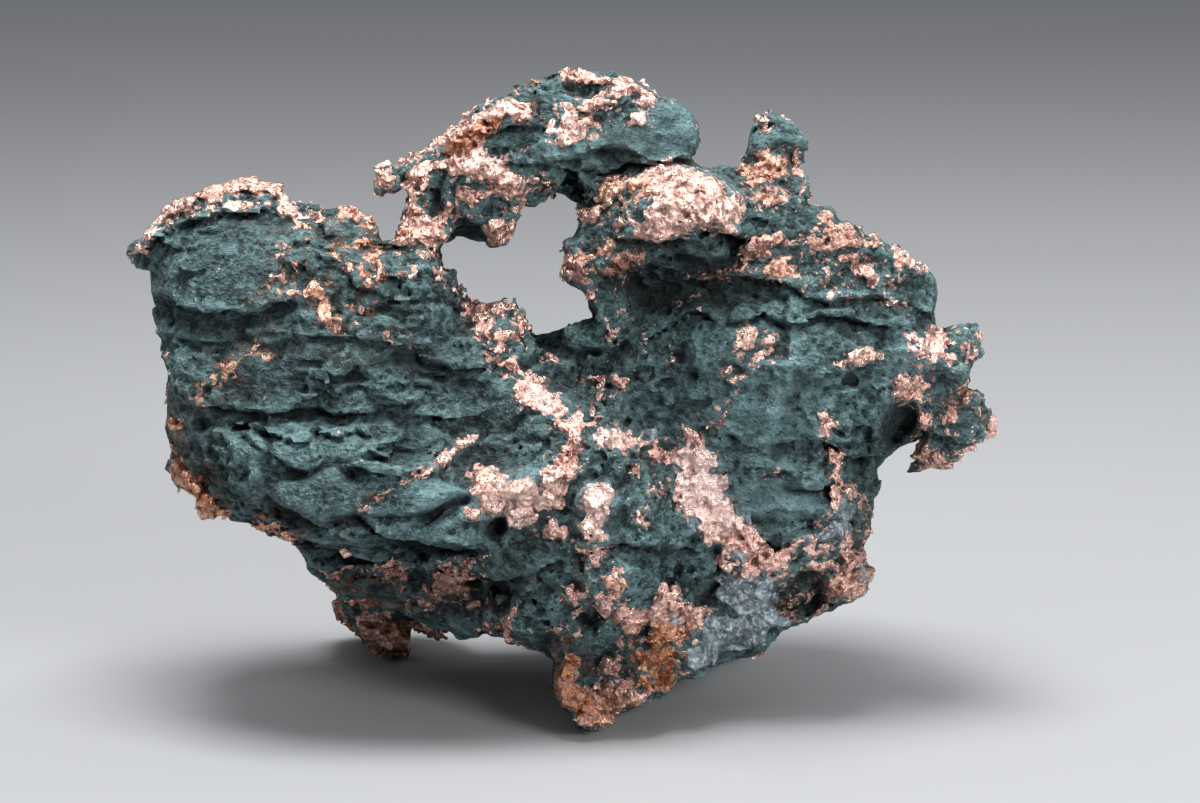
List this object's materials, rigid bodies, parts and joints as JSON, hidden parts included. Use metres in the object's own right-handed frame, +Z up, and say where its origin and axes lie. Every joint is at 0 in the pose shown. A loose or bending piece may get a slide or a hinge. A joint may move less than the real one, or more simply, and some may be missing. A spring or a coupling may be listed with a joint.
{
  "type": "native copper nugget",
  "caption": "Lump of dark greenstone grown through with native copper, with an arch over a see-through hole and three low feet.",
  "frame": {"origin": "middle of the footprint's bounding box, on the plane that the nugget rests on", "axes": "+X along the length, to the viewer's right, +Y to the back, +Z up"},
  "size_m": [0.069, 0.0346, 0.0513],
  "materials": {
    "greenstone": "dark teal-grey altered basalt, broken and matt, layered in ledges on the left",
    "copper": "bare native copper, pinkish, hackly and finely crystalline, brown in its hollows",
    "quartz": "bluish grey-white massive quartz or calcite, slightly translucent and waxy"
  },
  "bodies": {
    "root": {"nugget": "greenstone"}
  },
  "joints": []
}
